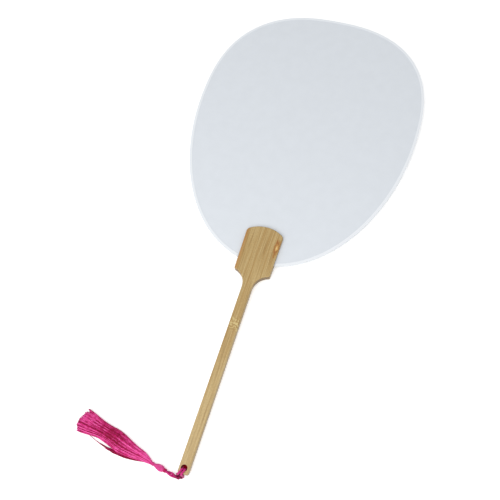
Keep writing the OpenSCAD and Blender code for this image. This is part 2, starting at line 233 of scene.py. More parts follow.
# %% The route of the hitch
HITCH_ROUTE = [
    [-2.5, -3.7, -2.4], [-2.6, -2.7, -2.6], [-2.9, -1.8, -3], [-3.1, -0.9, -3.8], [-2.9, 0.1, -4.1],
    [-2.4, 1.2, -4], [-1.5, 2.4, -4], [-1, 3.2, -3.3], [-0.9, 3.4, -1.9], [-0.9, 3.4, 0],
    [-0.9, 3.4, 1.9], [-1, 3.2, 3.3], [-1.4, 2.3, 4], [-1.9, 1, 4], [-2.4, -0.1, 3.9],
    [-2.8, -0.8, 3.1], [-3.1, -1, 2], [-3.6, -1, 0.7], [-4.2, -1, -0.7], [-4.6, -1.1, -2],
    [-4.7, -1.4, -3.3], [-4.3, -2.1, -4.2], [-3.4, -2.7, -4.4], [-2.4, -2.8, -4.4],
    [-1.3, -2.7, -4.4], [-0.4, -2.2, -4.1], [0.2, -1.7, -3.2], [0.3, -1.3, -2], [0.1, -1, -0.6],
    [-0.2, -1, 0.8], [-0.4, -1, 2], [-0.4, -0.7, 3.2], [-0.2, 0.1, 3.9], [0.2, 1.1, 4],
    [0.7, 2.3, 4], [0.9, 3.2, 3.3], [0.9, 3.4, 1.9], [0.9, 3.4, 0], [0.9, 3.4, -1.9],
    [0.8, 3.2, -3.3], [0.5, 2.4, -4], [-0.1, 1.2, -4], [-0.8, 0.1, -3.9], [-1.2, -0.7, -3.2],
    [-1.6, -1.3, -2], [-2.1, -2.3, -0.9], [-2.5, -3.7, -0.7],
]


def from_end(points):
    """Millimetres from the middle of the rod's end, turned into the row's metres."""
    return np.asarray(points, float) * MM + np.array([0, ROD_END, 0])


def length_of(path):
    """Sum of the steps along a path."""
    return float(np.linalg.norm(np.diff(path, axis=0), axis=1).sum())


hitch_path = smooth(from_end(HITCH_ROUTE), 6)
print("cord in the hitch", round(length_of(hitch_path) / MM, 1), "mm")

# %% [markdown]
# Three plies twisted together show as three slanting ridges that wind about the cord, one whole turn
# in 5.5 mm. In the bore nothing pulls at the cord, so its plies open there and fill the hole.

# %% The hitch
CORD_IN_HOLE = np.array([0, 3.4, 0])
CORD_D = 1.6 * MM
PLY_LAY = 5.5 * MM
PLY_RELIEF = 0.07
BORE_REACH = 2
BORE_FULLER = 0.32


def lay_cord(name, path, body, *nodes, fuller=1.0):
    """Three-ply cord along a path, with round ends. fuller is the share of its own radius that it
    has at each point: less under a tie, and more where the plies open."""
    ends, radii = rounded(path, CORD_D / 2)
    radii[4:-4] *= fuller
    mesh = tube_mesh(name, ends[None], radii[None], 18, lobes=3, lay=PLY_LAY, relief=PLY_RELIEF)
    return place(name, mesh, body, *nodes)


from_hole = np.linalg.norm((hitch_path - from_end(CORD_IN_HOLE))[:, 1:], axis=1) / MM
fuller = 1 + BORE_FULLER * np.exp(-(from_hole / BORE_REACH) ** 4)
cord_hitch = lay_cord("hang_cord_hitch", hitch_path, "fan", "cord_hitch", fuller=fuller)
print("in the bore the cord is", round(1 + BORE_FULLER, 2), "times as thick as elsewhere")

# %% [markdown]
# From the hitch the two legs turn round each other, half a turn in all, on their way to the tassel.
# At the hitch they lie one above the other on the axis about which they swing, so they never part
# from it. The legs are the same curve, begun on opposite sides of the way.

# %% The two legs
HITCH_PIVOT = np.array([-2.5, -3.7, -1.55])
TASSEL_PIVOT = np.array([-14, -1.6, -2.9])
TASSEL_TURN = math.radians(171)
STACK_HALF = 0.85
LEG_TWIST = math.radians(180)
SQUEEZE = 0.32
SQUEEZE_FROM, SQUEEZE_OVER = 0.82, 0.15


def on_tassel(points):
    """Millimetres along, across and above the tassel, from its tip, turned into the row's metres."""
    c, s = math.cos(TASSEL_TURN), math.sin(TASSEL_TURN)
    turn = np.array([[c, s, 0], [-s, c, 0], [0, 0, 1]])
    return from_end(np.asarray(points, float) @ turn + TASSEL_PIVOT)


def leg(turn, shares):
    """One leg: the straight way between the pivots plus a half circle's turn about it, which starts
    and ends slowly. The point is way + h (side cos a + up sin a), with a = turn + twist times
    share squared times (3 minus twice share), and h shrinks where the tie squeezes the legs."""
    way = TASSEL_PIVOT - HITCH_PIVOT
    side = unit(np.cross([0, 0, 1], way))
    up = np.cross(unit(way), side)
    share = shares[:, None]
    a = turn + LEG_TWIST * share * share * (3 - 2 * share)
    half = STACK_HALF * (1 - SQUEEZE * np.clip((share - SQUEEZE_FROM) / SQUEEZE_OVER, 0, 1))
    return HITCH_PIVOT + share * way + half * (np.cos(a) * side + np.sin(a) * up)


shares = np.linspace(0, 0.97, 40)
going = from_end(leg(-math.pi / 2, shares))
coming = from_end(leg(math.pi / 2, shares))[::-1]
print("each leg is", round(length_of(going) / MM, 1), "mm long up to the tassel")

# %% [markdown]
# The legs go in at the tip of the tassel's head and meet there in the small loop that keeps the head
# on, so they are one length of cord, there and back. The tie squeezes them where they go in.

# %% The loop in the head
LOOP_DEPTH = 3.9
LOOP_R = 1.2
TIE_REACH, TIE_EASE = 2.1, 1.5
into = [[0.6, 0, 0.55], [1.2, 0, 0.57], [1.8, 0, 0.68], [2.5, 0, 0.95], [3.2, 0, 1.15]]
bend = np.linspace(np.pi / 2, -np.pi / 2, 8)
turn_back = np.stack([LOOP_DEPTH + LOOP_R * np.cos(bend), 0 * bend, LOOP_R * np.sin(bend)], axis=1)
loop = smooth(np.vstack([into, turn_back, np.array(into)[::-1] * [1, 1, -1]]), 3)
leg_path = np.vstack([going, on_tassel(loop), coming])
from_tip = np.linalg.norm(leg_path - on_tassel([0, 0, 0]), axis=1) / MM
squeezed = np.clip((TIE_REACH - from_tip) / TIE_EASE, 0, 1)
squeezed[len(going):-len(coming)] = 1
hang_cord = lay_cord("hang_cord_legs", leg_path, None, "cord_legs", "cord_knot",
                     fuller=1 - SQUEEZE * squeezed)
print("cord in the legs and the loop", round(length_of(leg_path) / MM, 1), "mm")

# %% [markdown]
# The head of the tassel is the same floss as the skirt, folded over the loop of cord and drawn in
# above and below it. It is a body of revolution, a bulb with a slim neck, and its surface is threads
# lying side by side, which run round it a little as they go down. A grid of two parameters makes
# that: how far down the head, and the angle round it, with a fine wave in the radius for the threads
# and a slow one that makes it a little lumpy, as work done by hand is.

# %% The head of the tassel
HEAD_PROFILE = np.array([[-0.9, 1.05], [-0.3, 1.2], [0.5, 1.25], [1.3, 1.55], [2.1, 2.02], [3, 2.24],
                         [4, 2.3], [5.2, 2.2], [6.3, 1.95], [7.3, 1.6], [8.2, 1.28], [9.2, 1.1],
                         [10.4, 1.02], [11.6, 1.05]])
HEAD_THREADS, THREAD_DEPTH = 30, 0.045
LUMPS, LUMP_DEPTH = 7, 0.03
HEAD_SWIRL = 0.35


def head_mesh(name, steps, around):
    """Head of drawn-in floss: the point is (x, r w cos a, r w sin a), where r is the profile's
    radius at x. The wave w is 1 plus thread depth times cos(threads times (a minus the swirl at x))
    plus lump depth times cos(lumps times a plus 1.5 x)."""
    line = smooth(np.column_stack([HEAD_PROFILE, 0 * HEAD_PROFILE[:, 0]]), steps)[:, :2]
    angle = np.linspace(0, 2 * np.pi, around, endpoint=False)
    x, r = line[:, :1], line[:, 1:]
    swirl = HEAD_SWIRL * x / HEAD_PROFILE[-1, 0]
    wave = 1 + THREAD_DEPTH * np.cos(HEAD_THREADS * (angle - swirl))
    wave = wave + LUMP_DEPTH * np.cos(LUMPS * angle + 1.5 * x)
    points = np.stack(np.broadcast_arrays(x, r * wave * np.cos(angle), r * wave * np.sin(angle)), axis=-1)
    return mesh_of_rings(name, on_tassel(points)[None], x.T * MM)


tassel_head = place("tassel_head_floss", head_mesh("tassel_head_floss", 5, 180), "tassel", "tassel_head")
print("head", round(2 * HEAD_PROFILE[:, 1].max(), 1), "mm across, of", HEAD_THREADS, "drawn-in threads")

# %% [markdown]
# Two ties hold the head: a crimson one where the cord goes in, and a pink one under the neck. Each
# is a real winding, a thread that goes round and round beside itself, so it is a helix with a small
# pitch and both ends tucked under. With the ties made, the legs' place is written into their mesh.

# %% The two ties
TIE_THREAD = 0.42
TIE_PITCH = 0.4
STEPS_IN_TURN = 28
TUCK_DEPTH, TUCK_ANGLE = 0.35, 0.9


def winding(start, turns, radius):
    """Helix about the tassel's axis: x grows by the pitch in each turn, and the radius at x is what
    the given function says, drawn in at both ends, where the thread is tucked under."""
    a = np.linspace(0, 2 * np.pi * turns, int(STEPS_IN_TURN * turns) + 1)
    x = start + TIE_PITCH * a / (2 * np.pi)
    out = np.minimum(1, np.minimum(a, a[-1] - a) / TUCK_ANGLE)
    r = radius(x) - TUCK_DEPTH * (1 - out)
    return on_tassel(np.column_stack([x, r * np.cos(a), r * np.sin(a)]))


def tie(name, path, node):
    """Thread wound along a path, which stands for one CAD node."""
    ends, radii = rounded(path, TIE_THREAD / 2 * MM)
    piece = place(name, tube_mesh(name, ends[None], radii[None], 8), "tassel", node)
    print(name, "is", round(length_of(path) / MM), "mm of thread")
    return piece


top_tie = tie("top_tie_thread", winding(-1.1, 5.5, lambda x: 1.25 + 0.1 * np.cos(x)), "top_tie")
neck_tie = tie("neck_tie_thread", winding(9.7, 4, lambda x: 1.22 + 0 * x), "neck_tie")

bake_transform(hang_cord)

# %% [markdown]
# The skirt is several hundred threads of glossy floss. In the photograph it lies flat, spreads from
# the tie to the width of a thumb, and bends a little to one side. Its outline is given at a few
# stations, each a distance from the tie and the two sides there, and its height in the same way.

# %% The outline of the skirt
SKIRT_STATIONS = np.array([
    [0, 1.05, -1.05], [3, 1.4, -2.6], [8, 2.3, -4.6], [15, 3.5, -5.7], [22, 4.5, -7.4],
    [28, 4.9, -9], [34, 4, -10], [40, 3.3, -9.9], [46, 2.9, -10.1], [52, 3.9, -11],
    [58, 5.3, -12.2], [66, 6.6, -13.2]])
SKIRT_HEIGHT = np.array([[0, 2.1], [4, 2.8], [12, 3.9], [25, 4.2], [45, 3.9], [66, 3.4]])


def between(stations, x, column):
    """Value of a table's column at x, with a smooth curve through the stations."""
    table = stations[:, [0, column]]
    curve = smooth(np.column_stack([table, 0 * table[:, 0]]), 8)
    return np.interp(x, curve[:, 0], curve[:, 1])


widths = np.ptp(SKIRT_STATIONS[:, 1:], axis=1).tolist()
print("the outline widens from", round(widths[0], 1), "to", round(widths[-1], 1), "mm")

# %% [markdown]
# The threads keep together in locks, and each is a path of its own. Its place in the bundle is a
# point in a round disc at the tie, and the same point in a low wide oval further down, so threads
# never swap places. They are drawn about twice as thick as real floss, which doesn't show at the size
# of the photograph.

# %% The places and paths of the threads
TIE_AT = 11.4
LOWEST = -5.15
FLOOR_UNDER = LOWEST - TASSEL_PIVOT[2]
LOCKS = 310
THREADS_IN_LOCK = 3
THREAD_R = 0.17
SPREADS_OVER = 9
LOCK_SPREAD = 1.25
GOLDEN_TURN = math.radians(137.508)


def spread_in_disc(count):
    """Points that fill the unit disc evenly: point k is k golden turns round, at the root of
    k / count from the middle."""
    k = np.arange(count) + 0.5
    turn = GOLDEN_TURN * k
    return np.sqrt(k / count)[:, None] * np.stack([np.cos(turn), np.sin(turn)], axis=1)


def thread_paths(across, high, x, sway):
    """Paths of threads whose place in the bundle is (across, high) in the unit disc. At the tie the
    point is that place times the neck's radius. Further on it is the middle of the outline plus
    across times its half width, and the floor plus (1 + high) times half the height, and the change
    from one to the other follows a smooth step over the first few mm. sway is added to the side."""
    low, up = between(SKIRT_STATIONS, x, 1), between(SKIRT_STATIONS, x, 2)
    middle, half = (low + up) / 2, (low - up) / 2
    t = np.clip(x / SPREADS_OVER, 0, 1)
    step = t * t * (3 - 2 * t)
    y = middle + half * across + sway
    flat_z = FLOOR_UNDER + between(SKIRT_HEIGHT, x, 1) / 2 * (1 + high) + THREAD_R
    return np.stack([x + TIE_AT - 0.2, y, (1 - step) * high + step * flat_z], axis=-1)


in_lock = np.repeat(np.arange(LOCKS), THREADS_IN_LOCK)
total = len(in_lock)
lock_room = LOCK_SPREAD / math.sqrt(LOCKS)
lock_place = spread_in_disc(LOCKS)[in_lock] * (1 - lock_room / 2)
near = np.tile(spread_in_disc(THREADS_IN_LOCK), (LOCKS, 1)) * lock_room
print(total, "threads in", LOCKS, "locks")

# %% [markdown]
# The cut end isn't straight. The scissors went across at a slant, the outermost lock on the upper
# side stands out as a corner of its own with a notch beside it, the lower corner is rounded off, and
# the threads of a lock end together, a little before or after their neighbours. Locks draw together
# as they leave the tie, and wander a little from side to side.

# %% The cut end
THREAD_STEPS = 24
SKIRT_LENGTH = 65
SLANT, SLANT_OVER = 2, 0.75
NOTCH_AT, NOTCH_HALF, NOTCH_DEPTH = -0.78, 0.08, 2.8
CORNER_FROM, CORNER_DEPTH = 0.45, 3
UNEVEN_LOCKS, UNEVEN_THREADS = 0.6, 0.35
DRAWN_TOGETHER = 0.45
LOCK_SWAY, THREAD_SWAY = 0.3, 0.12
LOCK_WAVE, THREAD_WAVE = 9, 5
SWAY_FULL_AT = 64
rng = np.random.default_rng(3)
across_at = (lock_place + near)[:, 0]
notch = np.exp(-((across_at - NOTCH_AT) / NOTCH_HALF) ** 2)
cut_line = SKIRT_LENGTH - SLANT * np.clip(-across_at / SLANT_OVER, 0, 1) - NOTCH_DEPTH * notch
cut_line -= CORNER_DEPTH * np.clip((across_at - CORNER_FROM) / (1 - CORNER_FROM), 0, 1)
length = cut_line + rng.normal(0, UNEVEN_LOCKS, LOCKS)[in_lock] + rng.normal(0, UNEVEN_THREADS, total)
share = np.linspace(0, 1, THREAD_STEPS)[None, :]
x = length[:, None] * share
apart = 1 - DRAWN_TOGETHER * np.clip((share - 0.05) / 0.2, 0, 1)
sway = LOCK_SWAY * rng.normal(0, 1, LOCKS)[in_lock][:, None] * x / SWAY_FULL_AT
sway = sway * np.sin(x / LOCK_WAVE + rng.uniform(0, 6, LOCKS)[in_lock][:, None])
stray = THREAD_SWAY * rng.normal(0, 1, (total, 1))
stray = stray * np.sin(x / THREAD_WAVE + rng.uniform(0, 6, (total, 1)))
paths = thread_paths(lock_place[:, :1] + near[:, :1] * apart,
                     lock_place[:, 1:] + near[:, 1:] * apart, x, sway + stray * share)
print("threads", round(length.min(), 1), "to", round(length.max(), 1), "mm long")

# %% [markdown]
# The photograph's colours change along the skirt. Light and shade are painted into them: a painted
# highlight makes the floss bright pink by the tie, painted shade makes it deep crimson in the middle,
# and painted light makes it bright again towards the cut. Each lock and each thread in it has a shade
# of its own besides. A shade is a number from 0 to 1, worked out for every ring of every thread and
# kept on the mesh, and the finish turns it into a colour.

# %% The shades of the threads
THREADS_DIFFER = 0.18
PAINTED_SHADE_AT, PAINTED_SHADE_HALF, PAINTED_SHADE_DEPTH = 37.5, 12, 0.48
PAINTED_SHADE_ACROSS, PAINTED_SHADE_WIDE = -0.15, 1.1
TIE_HIGHLIGHT_REACH, CUT_LIGHT_REACH, PAINTED_LIGHT_ADDED = 18, 14, 0.14
FIRST_RINGS, FIRST_THIN = 0.08, 0.75
thread_shade = rng.uniform(0.05, 0.95, LOCKS)[in_lock] + THREADS_DIFFER * rng.normal(0, 1, total)
aside = across_at[:, None]
# Painted shade: darker in the middle of the skirt. Painted light: brighter by the tie and at the cut.
deep = np.exp(-((x - PAINTED_SHADE_AT) / PAINTED_SHADE_HALF) ** 2 - ((aside - PAINTED_SHADE_ACROSS) / PAINTED_SHADE_WIDE) ** 2)
painted_highlight_by_tie = np.exp(-(x / TIE_HIGHLIGHT_REACH) ** 2)
painted_light_by_cut = np.exp(-((x - SKIRT_LENGTH) / CUT_LIGHT_REACH) ** 2) * np.clip(0.9 + aside, 0, 1)
shade = np.clip(thread_shade[:, None] - PAINTED_SHADE_DEPTH * deep + PAINTED_LIGHT_ADDED * (painted_highlight_by_tie + painted_light_by_cut), 0, 1)
taper = FIRST_THIN + (1 - FIRST_THIN) * np.minimum(share / FIRST_RINGS, 1)
skirt_mesh = tube_mesh("tassel_skirt_floss", on_tassel(paths), THREAD_R * MM * taper, 4, shade=shade)
skirt = place("tassel_skirt_floss", skirt_mesh, "tassel", "tassel_skirt")
print("shades average", round(float(shade.mean()), 2), "on", len(skirt_mesh.vertices), "points")

# %% [markdown]
# One lock has slipped out of the lower side of the skirt. It bows away, leaves a gap through which
# the table shows, and comes back near the cut ends. It is thick at its root, but most of its threads
# end half-way, and only a few go on to the end. All its threads are painted nearly the darkest shade,
# a painted shadow of the gap under it. Its middle is a route through a few points, and each thread
# keeps its place beside that middle, nearer or further as the lock swells and thins.

# %% The lock that bows away
BOW_ROUTE = [[2, 0.4, 0], [5, 1, 0], [8, 1.8, -0.2], [11, 2.6, -0.5], [16, 3.8, -0.9],
             [21, 4.7, -1.3], [28, 5.4, -1.7], [36, 6, -1.8], [44, 5.4, -1.8], [50, 4.5, -1.7],
             [55, 3.6, -1.6]]
BOW_HALF = np.array([[0, 0.4], [0.2, 0.8], [0.5, 1.4], [0.65, 1.4], [0.75, 0.8], [0.85, 0.25], [1, 0.14]])
BOW_FLATNESS = 0.45
BOW_THREADS = 34
SHORTEST = 0.64
BOW_PAINTED_SHADOW, BOW_DIFFER = 0.05, 0.15
bow_middle = smooth(BOW_ROUTE, 4) + np.array([TIE_AT, 0, 0])
bow_share = np.linspace(0, 1, len(bow_middle))
lock_half = np.interp(bow_share, *BOW_HALF.T)
reach = spread_in_disc(BOW_THREADS)[:, :, None] * lock_half * np.array([[1], [BOW_FLATNESS]])
thread_end = np.linspace(0, 1, BOW_THREADS)[rng.permutation(BOW_THREADS)] ** 4
lag = (SHORTEST + (1 - SHORTEST) * thread_end)[:, None] * bow_share
bow_paths = np.stack([np.interp(lag, bow_share, bow_middle[:, k]) for k in range(3)], axis=-1)
for k in (0, 1):
    beside = [np.interp(way, bow_share, own) for way, own in zip(lag, reach[:, k])]
    bow_paths[:, :, k + 1] += np.stack(beside)
# Painted shadow: the lock's threads are painted nearly the darkest shade.
bow_painted_shadow = np.clip(BOW_PAINTED_SHADOW + BOW_DIFFER * rng.normal(0, 1, BOW_THREADS), 0, 1)
bow_mesh = tube_mesh("bowed_lock_floss", on_tassel(bow_paths), THREAD_R * MM, 5, shade=bow_painted_shadow)
bow = place("bowed_lock_floss", bow_mesh, "tassel")
print(BOW_THREADS, "threads in the lock that bows away")

# %% [markdown]
# Now the finishes. A colour is written as it would be picked from a screen, and is turned into
# linear light, which is what the shader counts in. Each finish is a material of its own, with the
# name of the real thing, and its shader's plain settings are given where it is made.

# %% Colours and finishes
def linear(code):
    """Linear light of a colour in six hex digits: ((s + 0.055) / 1.055) to the power of 2.4, or
    s / 12.92 where it is very dark."""
    s = np.array([int(code[k:k + 2], 16) for k in (1, 3, 5)]) / 255
    return (*np.where(s > 0.04045, ((s + 0.055) / 1.055) ** 2.4, s / 12.92).tolist(), 1.0)


def new_finish(name, **settings):
    """A material and its shader, with the shader's own settings by the names of its sockets."""
    material = bpy.data.materials.new(name)
    material.use_nodes = True
    shader = material.node_tree.nodes["Principled BSDF"]
    for socket, value in settings.items():
        shader.inputs[socket.replace("_", " ")].default_value = value
    return material, material.node_tree, shader


print("middle grey, #808080, is", round(linear("#808080")[0], 3), "in linear light")

# %% [markdown]
# A pattern is a chain of nodes. One function adds a node, gives it its settings and links its inputs,
# so a whole finish reads from top to bottom. Patterns are laid out in millimetres from the end of the
# rod, so their grain has a real size.

# %% Adding nodes
def add(tree, kind, inputs=None, stops=None, **settings):
    """Adds a node, and gives back its outputs. inputs are numbers, colours or other nodes' outputs,
    by the name or number of the socket. stops are the places and colours of a colour ramp."""
    node = tree.nodes.new("ShaderNode" + kind)
    for name, value in settings.items():
        setattr(node, name, value)
    for socket, value in (inputs or {}).items():
        if isinstance(value, bpy.types.NodeSocket):
            tree.links.new(value, node.inputs[socket])
        else:
            node.inputs[socket].default_value = value
    for k, (at, colour) in enumerate(stops or []):
        elements = node.color_ramp.elements
        element = elements[k] if k < 2 else elements.new(at)
        element.position = at
        element.color = linear(colour)
    return node.outputs


def in_millimetres(tree):
    """The point's place in millimetres from the middle of the rod's end."""
    place_of = add(tree, "TexCoord")["Object"]
    moved = add(tree, "VectorMath", {0: place_of, 1: (0, ROD_END, 0)}, operation="SUBTRACT")[0]
    return add(tree, "VectorMath", {0: moved, "Scale": 1 / MM}, operation="SCALE")[0]


def paint(obj, material):
    """Gives an object its one material."""
    obj.data.materials.clear()
    obj.data.materials.append(material)


# %% [markdown]
# The handle is split and planed bamboo under a thin clear lacquer. Bamboo has no rings. It has
# strands of darker fibre that run the whole length of the stalk. They are made by a noise that is
# drawn out along the rod: its vector counts many strands to the millimetre across, and few along.
# Real strands are finer, and here they are 0.7 mm wide, so that they show. A coarser noise of the
# same kind lays golden stains over them, and the wood pales towards the end of the rod.

# %% Bamboo fibres
FIBRES_PER_MM = (1.5, 0.03, 1.5)
STAINS_PER_MM = (0.42, 0.011, 0.42)
bamboo, tree, shader = new_finish("split_bamboo", Roughness=0.42, IOR=1.5)
point = in_millimetres(tree)
xyz = add(tree, "SeparateXYZ", {0: point})
x, y = xyz["X"], xyz["Y"]
fine = add(tree, "VectorMath", {0: point, 1: FIBRES_PER_MM}, operation="MULTIPLY")[0]
coarse = add(tree, "VectorMath", {0: point, 1: STAINS_PER_MM}, operation="MULTIPLY")[0]
fibre = add(tree, "TexNoise", {"Vector": fine, "Scale": 1.0, "Detail": 5.0, "Roughness": 0.6})[0]
stain = add(tree, "TexNoise", {"Vector": coarse, "Scale": 1.0, "Detail": 3.0})[0]
fibre_colour = add(tree, "ValToRGB", {0: fibre}, stops=[
    (0.32, "#8E6C37"), (0.44, "#AE9059"), (0.56, "#B99F6A"), (0.7, "#C4AC7B")])[0]
gold = add(tree, "MapRange", {0: stain, 1: 0.48, 2: 0.62, 3: 0.0, 4: 0.6},
           interpolation_type="SMOOTHSTEP")[0]
wood = add(tree, "Mix", {0: gold, 6: fibre_colour, 7: linear("#A17C3F")}, data_type="RGBA")[2]
pale = add(tree, "MapRange", {0: y, 1: 150.0, 2: 10.0, 3: 0.0, 4: 0.4})[0]
wood = add(tree, "Mix", {0: pale, 6: wood, 7: linear("#BFA879")}, data_type="RGBA")[2]
print("fibres", round(1 / FIBRES_PER_MM[0], 2), "and stains", round(1 / STAINS_PER_MM[0], 1), "mm wide")

# %% [markdown]
# At every node of the stalk a wavy band crosses the fibres. The photograph shows one half-way up the
# rod. A sine of the height makes fine lines across the rod, a noise added to the height makes them
# wavy, and the band fades out within a few millimetres of its middle. The crests are brown, and the
# hollows are pale.

# %% The node in the bamboo
NODE_Y = 116.0
NODE_FADES = 7.0, 3.5
node_at = add(tree, "Math", {0: y, 1: NODE_Y}, operation="SUBTRACT")[0]
node_far = add(tree, "Math", {0: node_at}, operation="ABSOLUTE")[0]
node_here = add(tree, "MapRange", {0: node_far, 1: NODE_FADES[0], 2: NODE_FADES[1], 3: 0.0, 4: 1.0},
                interpolation_type="SMOOTHSTEP")[0]
swirl = add(tree, "TexNoise", {"Vector": point, "Scale": 0.3, "Detail": 1.0})[0]
level = add(tree, "Math", {0: swirl, 1: 16.0, 2: y}, operation="MULTIPLY_ADD")[0]
lines = add(tree, "Math", {0: level, 1: 1.5}, operation="MULTIPLY")[0]
wave = add(tree, "Math", {0: add(tree, "Math", {0: lines}, operation="SINE")[0], 1: node_here},
           operation="MULTIPLY")[0]
dark_line = add(tree, "MapRange", {0: wave, 1: 0.35, 2: 0.95, 3: 0.0, 4: 0.55})[0]
pale_line = add(tree, "MapRange", {0: wave, 1: -0.3, 2: -0.9, 3: 0.0, 4: 0.6})[0]
wood = add(tree, "Mix", {0: dark_line, 6: wood, 7: linear("#97702F")}, data_type="RGBA")[2]
wood = add(tree, "Mix", {0: pale_line, 6: wood, 7: linear("#DCCB8E")}, data_type="RGBA")[2]
print("node", NODE_Y, "mm from the rod's end and", 2 * NODE_FADES[0], "mm high at most")

# %% [markdown]
# Near the right edge of the head the photograph shows a brown eye, the trace of a side shoot: pale in
# its middle, with a dark ragged ring. Its distance from the middle is measured in a stretched space,
# so that it is an oval, and a noise drawn out along the grain makes its edge ragged. Along the left
# edge runs an orange streak, which follows the slightly slanting edge of the head.

# %% The eye and the streak
EYE_AT = 13.0, 185.2
EYE_STRETCH = (0.36, 0.135, 0.0)
HEAD_FROM, HEAD_TO = 164.0, 196.0
EDGE_LOW, EDGE_HIGH = 14.8, 15.6
eye_x = add(tree, "Math", {0: x, 1: EYE_AT[0]}, operation="SUBTRACT")[0]
eye_y = add(tree, "Math", {0: y, 1: EYE_AT[1]}, operation="SUBTRACT")[0]
eye_place = add(tree, "CombineXYZ", {0: eye_x, 1: eye_y})[0]
eye_round = add(tree, "VectorMath", {0: eye_place, 1: EYE_STRETCH}, operation="MULTIPLY")[0]
eye_far = add(tree, "VectorMath", {0: eye_round}, operation="LENGTH")["Value"]
drawn_out = add(tree, "VectorMath", {0: point, 1: (0.5, 0.17, 0.5)}, operation="MULTIPLY")[0]
eye_ragged = add(tree, "TexNoise", {"Vector": drawn_out, "Scale": 1.0, "Detail": 3.0})[0]
eye_rough = add(tree, "Math", {0: eye_ragged, 1: 2.2, 2: eye_far}, operation="MULTIPLY_ADD")[0]
eye_level = add(tree, "Math", {0: eye_rough, 1: 3.0}, operation="DIVIDE")[0]
eye_colour = add(tree, "ValToRGB", {0: eye_level}, stops=[
    (0.36, "#E2CC93"), (0.47, "#C99A50"), (0.56, "#93591F"), (0.66, "#A87A38")])[0]
eye = add(tree, "MapRange", {0: eye_level, 1: 0.74, 2: 0.62, 3: 0.0, 4: 0.95},
          interpolation_type="SMOOTHSTEP")[0]
wood = add(tree, "Mix", {0: eye, 6: wood, 7: eye_colour}, data_type="RGBA")[2]

head_edge = add(tree, "MapRange", {0: y, 1: HEAD_FROM, 2: HEAD_TO, 3: -EDGE_LOW, 4: -EDGE_HIGH})[0]
from_edge = add(tree, "Math", {0: x, 1: head_edge}, operation="SUBTRACT")[0]
by_edge = add(tree, "MapRange", {0: from_edge, 1: 3.4, 2: 0.5, 3: 0.0, 4: 0.6},
              interpolation_type="SMOOTHSTEP")[0]
on_head = add(tree, "MapRange", {0: y, 1: 158.0, 2: 162.0, 3: 0.0, 4: 1.0})[0]
streak = add(tree, "Math", {0: by_edge, 1: on_head}, operation="MULTIPLY")[0]
wood = add(tree, "Mix", {0: streak, 6: wood, 7: linear("#B27A38")}, data_type="RGBA")[2]
print("eye", EYE_AT[0], "mm right of the middle and", EYE_AT[1], "mm from the rod's end")

# %% [markdown]
# The sawn sides are darker than the planed faces. The point's normal tells them apart: a side is
# where it isn't upright, and the sides that face down the rod get a darker painted shade. The bore of
# the hang hole is painted dark crimson, painted shade tinted by red light from the cord. A mottle,
# shallow grooves along the fibres and a thin coat of lacquer finish the wood.

# %% The sawn sides, the bore and the lacquer
HOLE_FROM_END = 4.2
BORE_R = 2.42
outward = add(tree, "SeparateXYZ", {0: add(tree, "TexCoord")["Normal"]})
upright = add(tree, "Math", {0: outward["Z"]}, operation="ABSOLUTE")[0]
skin = add(tree, "MapRange", {0: upright, 1: 0.75, 2: 0.2, 3: 0.0, 4: 0.75},
           interpolation_type="SMOOTHSTEP")[0]
# Painted shade: sides that face down the rod are painted a darker brown.
side_in_painted_shade = add(tree, "MapRange", {0: outward["Y"], 1: -0.15, 2: -0.6, 3: 0.0, 4: 1.0})[0]
side_colour = add(tree, "Mix", {0: side_in_painted_shade, 6: linear("#A08454"), 7: linear("#5F4522")},
                  data_type="RGBA")[2]
wood = add(tree, "Mix", {0: skin, 6: wood, 7: side_colour}, data_type="RGBA")[2]

flat_way = add(tree, "CombineXYZ", {0: x, 1: y})[0]
bore_far = add(tree, "VectorMath", {0: flat_way, 1: (0.0, HOLE_FROM_END, 0.0)},
               operation="DISTANCE")["Value"]
# Painted shade: the bore's wall is painted dark crimson, shade tinted by the cord's red light.
bore = add(tree, "MapRange", {0: bore_far, 1: BORE_R + 0.13, 2: BORE_R, 3: 0.0, 4: 0.92})[0]
wood = add(tree, "Mix", {0: bore, 6: wood, 7: linear("#96101E")}, data_type="RGBA")[2]
speckle = add(tree, "TexNoise", {"Vector": point, "Scale": 0.9, "Detail": 2.0})[0]
mottled = add(tree, "MapRange", {0: speckle, 1: 0.3, 2: 0.7, 3: 0.9, 4: 1.08})[0]
wood = add(tree, "VectorMath", {0: wood, "Scale": mottled}, operation="SCALE")[0]
tree.links.new(wood, shader.inputs["Base Color"])
grooves = add(tree, "Bump", {"Height": fibre, "Strength": 0.25, "Distance": 0.00006})[0]
tree.links.new(grooves, shader.inputs["Normal"])
shader.inputs["Coat Weight"].default_value = 0.25
shader.inputs["Coat Roughness"].default_value = 0.25
paint(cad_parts["handle"], bamboo)
print("the bamboo has", len(tree.nodes), "nodes")

# %% [markdown]
# The leaf is board, faced with smooth paper and bound at the rim with white paper tape. Paper isn't
# perfectly even: the fibres in the sheet give it a faint cloud and a very fine tooth. The tape is
# a little whiter than the face, which is how it shows as a light line round the leaf.

# %% Paper, board and tape
CLOUDS_PER_MM = 0.11
TEETH_PER_MM = 3.2


